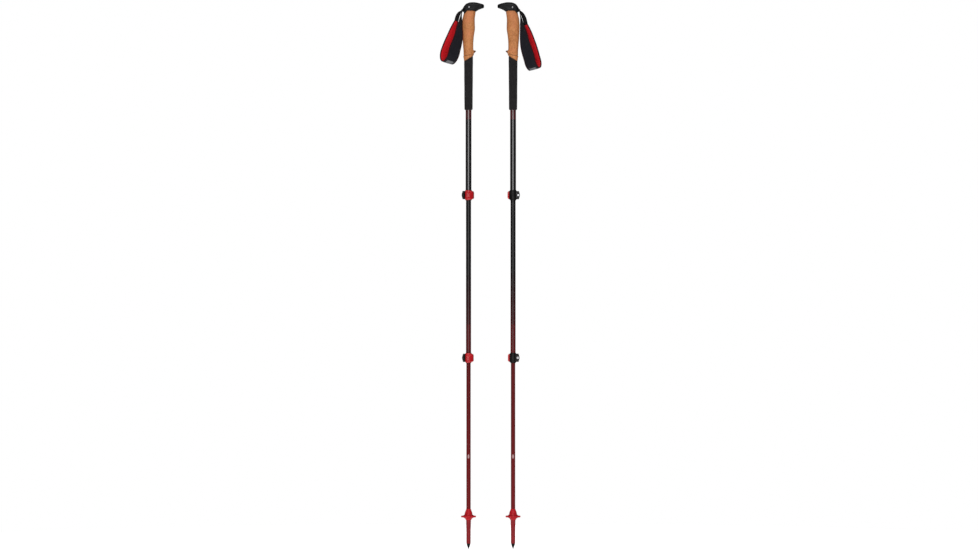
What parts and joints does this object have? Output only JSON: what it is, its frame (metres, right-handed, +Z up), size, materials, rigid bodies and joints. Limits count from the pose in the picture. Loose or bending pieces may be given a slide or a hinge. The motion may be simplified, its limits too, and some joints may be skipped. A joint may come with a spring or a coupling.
{
  "type": "trekking poles",
  "caption": "Pair of telescopic trekking poles with cork grips, wrist straps, red lever clamps, small baskets and carbide tips, stood at full length.",
  "frame": {"origin": "on the ground, midway between the two tips", "axes": "+Z up along the poles, +X from the left pole to the right pole, the viewer looks along +Y"},
  "size_m": [0.2654, 0.0624, 1.4],
  "materials": {
    "grip_rubber": "soft moulded rubber, satin black",
    "steel": "plain turned steel",
    "webbing": "flat woven black webbing",
    "cork": "natural cork, sanded smooth, granular",
    "foam": "closed-cell foam, matt grey-black, with a fine pore",
    "upper_tube": "satin black anodised, with a maroon band under the foam",
    "middle_tube": "satin anodised, black fading to dark red downwards",
    "lower_tube": "satin anodised dark red with small pale marks",
    "black_plastic": "moulded black nylon",
    "cam_black": "moulded black nylon",
    "red_lever": "glossy red moulded plastic",
    "strap_outer": "close-woven black fabric with stitched edges",
    "strap_lining": "brushed red lining over thin foam",
    "label": "plain grey moulded patch, no mark",
    "red_ferrule": "satin dark red moulded nylon",
    "red_basket": "semi-gloss red moulded plastic",
    "carbide": "dark sintered carbide, slightly rough"
  },
  "bodies": {
    "left_upper_section": {"left_grip_head": "grip_rubber", "left_strap_pin": "steel", "left_strap_anchor": "webbing", "left_cork_grip": "cork", "left_foam_grip": "foam", "left_upper_shaft": "upper_tube", "left_upper_sleeve": "black_plastic", "left_upper_clamp": "black_plastic", "left_upper_clamp_screw": "steel", "left_upper_lever_pin": "steel"},
    "left_upper_lever": {"left_upper_lever": "red_lever", "left_upper_cam": "cam_black"},
    "left_middle_section": {"left_middle_shaft": "middle_tube", "left_middle_guide_plug": "black_plastic", "left_lower_sleeve": "black_plastic", "left_lower_clamp": "black_plastic", "left_lower_clamp_screw": "steel", "left_lower_lever_pin": "steel"},
    "left_lower_lever": {"left_lower_lever": "red_lever", "left_lower_cam": "cam_black"},
    "left_lower_section": {"left_lower_shaft": "lower_tube", "left_lower_guide_plug": "black_plastic", "left_tip_ferrule": "red_ferrule", "left_basket": "red_basket", "left_carbide_tip": "carbide"},
    "left_strap": {"left_strap_webbing": "webbing", "left_strap_band": "strap_outer", "left_strap_lining": "strap_lining", "left_strap_label": "label"},
    "right_upper_section": {"right_grip_head": "grip_rubber", "right_strap_pin": "steel", "right_strap_anchor": "webbing", "right_cork_grip": "cork", "right_foam_grip": "foam", "right_upper_shaft": "upper_tube", "right_upper_sleeve": "black_plastic", "right_upper_clamp": "black_plastic", "right_upper_clamp_screw": "steel", "right_upper_lever_pin": "steel"},
    "right_upper_lever": {"right_upper_lever": "red_lever", "right_upper_cam": "cam_black"},
    "right_middle_section": {"right_middle_shaft": "middle_tube", "right_middle_guide_plug": "black_plastic", "right_lower_sleeve": "black_plastic", "right_lower_clamp": "black_plastic", "right_lower_clamp_screw": "steel", "right_lower_lever_pin": "steel"},
    "right_lower_lever": {"right_lower_lever": "red_lever", "right_lower_cam": "cam_black"},
    "right_lower_section": {"right_lower_shaft": "lower_tube", "right_lower_guide_plug": "black_plastic", "right_tip_ferrule": "red_ferrule", "right_basket": "red_basket", "right_carbide_tip": "carbide"},
    "right_strap": {"right_strap_webbing": "webbing", "right_strap_band": "strap_outer", "right_strap_lining": "strap_lining", "right_strap_label": "label"}
  },
  "joints": [
    {"name": "pole_spacing", "type": "slide", "parent": "left_upper_section", "child": "right_upper_section", "axis": [1, 0, 0], "range_m": [0, 0.25]},
    {"name": "left_upper_lever_open", "type": "hinge", "parent": "left_upper_section", "child": "left_upper_lever", "pos_m": [-0.0702, -0.00956, 0.906], "axis": [0, 0, -1], "range_deg": [0, 105]},
    {"name": "left_middle_slide", "type": "slide", "parent": "left_upper_section", "child": "left_middle_section", "axis": [0, 0, 1], "range_m": [0, 0.385]},
    {"name": "left_lower_lever_open", "type": "hinge", "parent": "left_middle_section", "child": "left_lower_lever", "pos_m": [-0.0692, -0.00956, 0.4895], "axis": [0, 0, -1], "range_deg": [0, 105]},
    {"name": "left_lower_slide", "type": "slide", "parent": "left_middle_section", "child": "left_lower_section", "axis": [0, 0, 1], "range_m": [0, 0.365]},
    {"name": "left_strap_swing", "type": "hinge", "parent": "left_upper_section", "child": "left_strap", "pos_m": [-0.0725, 0, 1.379], "axis": [0, 1, 0], "range_deg": [0, 95]},
    {"name": "right_upper_lever_open", "type": "hinge", "parent": "right_upper_section", "child": "right_upper_lever", "pos_m": [0.0702, 0.00956, 0.906], "axis": [0, 0, -1], "range_deg": [0, 105]},
    {"name": "right_middle_slide", "type": "slide", "parent": "right_upper_section", "child": "right_middle_section", "axis": [0, 0, 1], "range_m": [0, 0.385]},
    {"name": "right_lower_lever_open", "type": "hinge", "parent": "right_middle_section", "child": "right_lower_lever", "pos_m": [0.0692, 0.00956, 0.4895], "axis": [0, 0, -1], "range_deg": [0, 105]},
    {"name": "right_lower_slide", "type": "slide", "parent": "right_middle_section", "child": "right_lower_section", "axis": [0, 0, 1], "range_m": [0, 0.365]},
    {"name": "right_strap_swing", "type": "hinge", "parent": "right_upper_section", "child": "right_strap", "pos_m": [0.0725, 0, 1.379], "axis": [0, -1, 0], "range_deg": [0, 95]}
  ]
}
